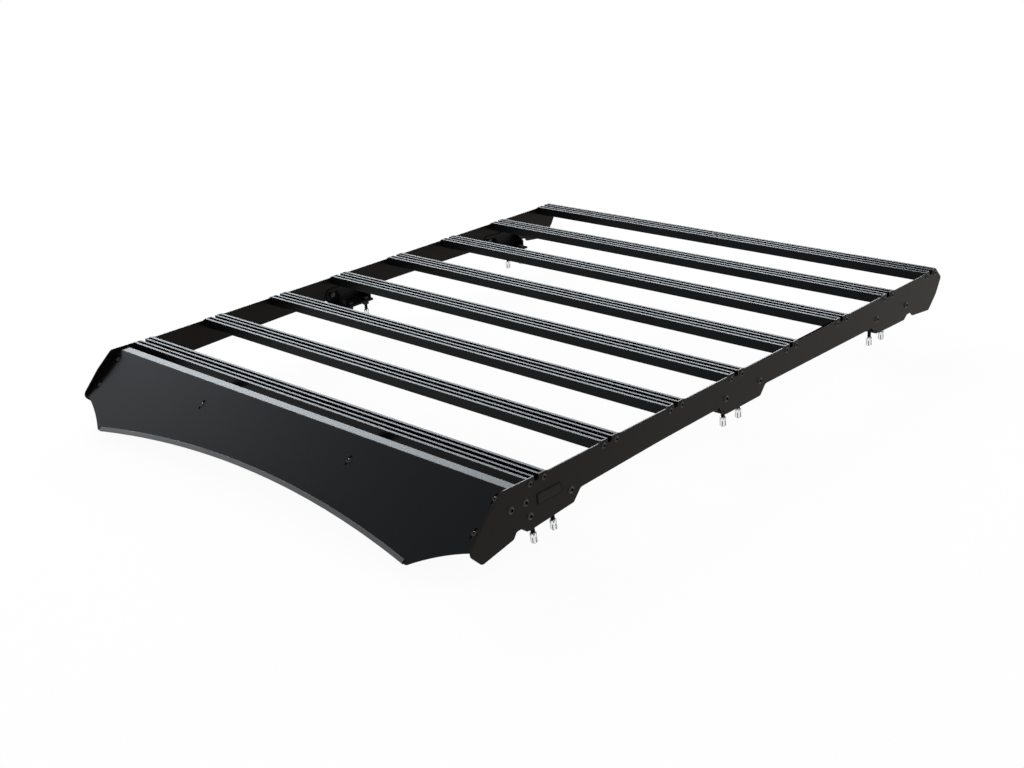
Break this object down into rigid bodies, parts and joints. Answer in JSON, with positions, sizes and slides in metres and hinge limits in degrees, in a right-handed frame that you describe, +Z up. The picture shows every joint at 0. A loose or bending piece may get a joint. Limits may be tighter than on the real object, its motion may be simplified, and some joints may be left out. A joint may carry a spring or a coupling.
{
  "type": "vehicle platform roof rack",
  "caption": "Flat black platform roof rack: slotted cross slats between two cut side plates, sloping wind deflector with an arched lower edge, bolt-on feet with hanging studs.",
  "frame": {"origin": "middle of the rack's footprint, at the level of the lowest stud ends", "axes": "+X across the vehicle towards the side that the picture shows, +Y from the deflector to the back, +Z up"},
  "size_m": [1.1722, 1.5194, 0.1392],
  "materials": {
    "plate_coat": "fine satin black powder coat",
    "slat_coat": "satin black powder coat on extruded aluminium",
    "deflector_coat": "smooth semi-gloss black powder coat",
    "bracket_coat": "satin black powder coat",
    "edging_rubber": "matt dark grey rubber",
    "name_plate": "matt black, blank",
    "black_bolt": "black oxide, slightly glossy",
    "black_stud": "dark plated steel",
    "sleeve_chrome": "bright plated"
  },
  "bodies": {
    "root": {"side_plate_left": "plate_coat", "deflector_bracket_left": "bracket_coat", "deflector_stay_left": "bracket_coat", "name_plate_left": "name_plate", "stud_sleeves_left": "sleeve_chrome", "slat_bolts_left": "black_bolt", "plate_bolts_left": "black_bolt", "foot_front_left": "bracket_coat", "studs_front_left": "black_stud", "foot_middle_left": "bracket_coat", "studs_middle_left": "black_stud", "foot_rear_left": "bracket_coat", "studs_rear_left": "black_stud", "side_plate_right": "plate_coat", "deflector_bracket_right": "bracket_coat", "deflector_stay_right": "bracket_coat", "name_plate_right": "name_plate", "stud_sleeves_right": "sleeve_chrome", "slat_bolts_right": "black_bolt", "plate_bolts_right": "black_bolt", "foot_front_right": "bracket_coat", "studs_front_right": "black_stud", "foot_middle_right": "bracket_coat", "studs_middle_right": "black_stud", "foot_rear_right": "bracket_coat", "studs_rear_right": "black_stud", "slat_1": "slat_coat", "slat_2": "slat_coat", "slat_3": "slat_coat", "slat_4": "slat_coat", "slat_5": "slat_coat", "slat_6": "slat_coat", "slat_7": "slat_coat", "slat_8": "slat_coat", "wind_deflector": "deflector_coat", "deflector_edging": "edging_rubber", "deflector_bolts": "black_bolt"}
  },
  "joints": []
}
